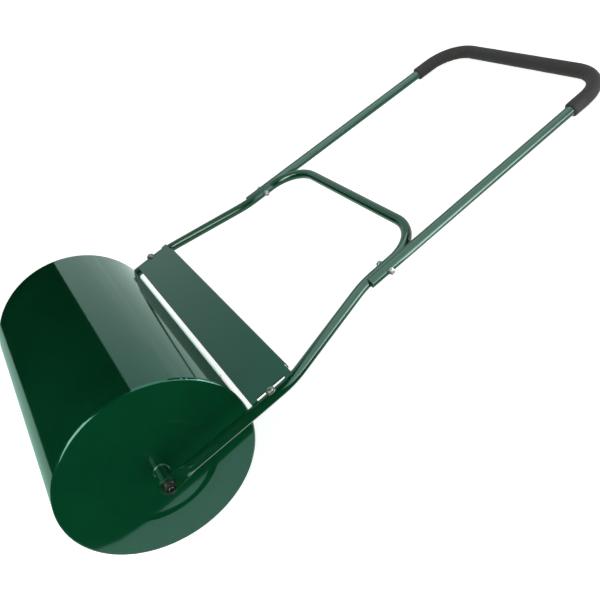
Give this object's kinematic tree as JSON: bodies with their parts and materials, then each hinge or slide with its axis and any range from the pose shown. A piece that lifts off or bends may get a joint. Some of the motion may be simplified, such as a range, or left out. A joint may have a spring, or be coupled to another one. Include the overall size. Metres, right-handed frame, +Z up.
{
  "type": "lawn roller",
  "caption": "Garden lawn roller: closed fillable steel drum on a fixed axle, bent tube frame with scraper plate, and a bolted U-shaped push handle with a foam grip.",
  "frame": {"origin": "centre of the bounding box, on the ground that the drum and the foam grip rest on", "axes": "+X along the axle, +Y from the drum towards the grip, +Z up"},
  "size_m": [0.594, 1.1956, 0.32],
  "materials": {
    "drum_paint": "gloss dark green enamel",
    "frame_paint": "gloss dark green powder coat",
    "scraper_paint": "satin dark green powder coat",
    "grip_foam": "matte closed-cell foam",
    "zinc_steel": "bright zinc plated",
    "dull_steel": "dull zinc plated",
    "dark_steel": "black passivated steel",
    "bush_nylon": "moulded black nylon",
    "plug_plastic": "moulded black polyethylene",
    "seal_rubber": "matte rubber"
  },
  "bodies": {
    "frame": {"lower_frame": "frame_paint", "handle_tube": "frame_paint", "handle_grip": "grip_foam", "axle_rod": "dark_steel", "thrust_washers": "zinc_steel", "axle_washers": "dark_steel", "axle_lock_washers": "dark_steel", "axle_nuts": "dark_steel", "handle_bolts": "zinc_steel", "handle_washers": "zinc_steel", "handle_nuts": "zinc_steel", "scraper_plate": "scraper_paint", "scraper_screws": "dull_steel", "scraper_washers": "dull_steel", "scraper_inserts": "dull_steel"},
    "drum": {"drum_shell": "drum_paint", "drum_end_right": "drum_paint", "drum_end_left": "drum_paint", "axle_tube": "drum_paint", "bush_right": "bush_nylon", "bush_left": "bush_nylon", "filler_neck": "drum_paint"},
    "filler_plug": {"filler_plug": "plug_plastic", "plug_seal": "seal_rubber"}
  },
  "joints": [
    {"name": "drum_spin", "type": "hinge", "parent": "frame", "child": "drum", "pos_m": [0, -0.4378, 0.16], "axis": [1, 0, 0], "continuous": true},
    {"name": "filler_plug_out", "type": "slide", "parent": "drum", "child": "filler_plug", "axis": [-1, 0, 0], "range_m": [0, 0.05]}
  ]
}
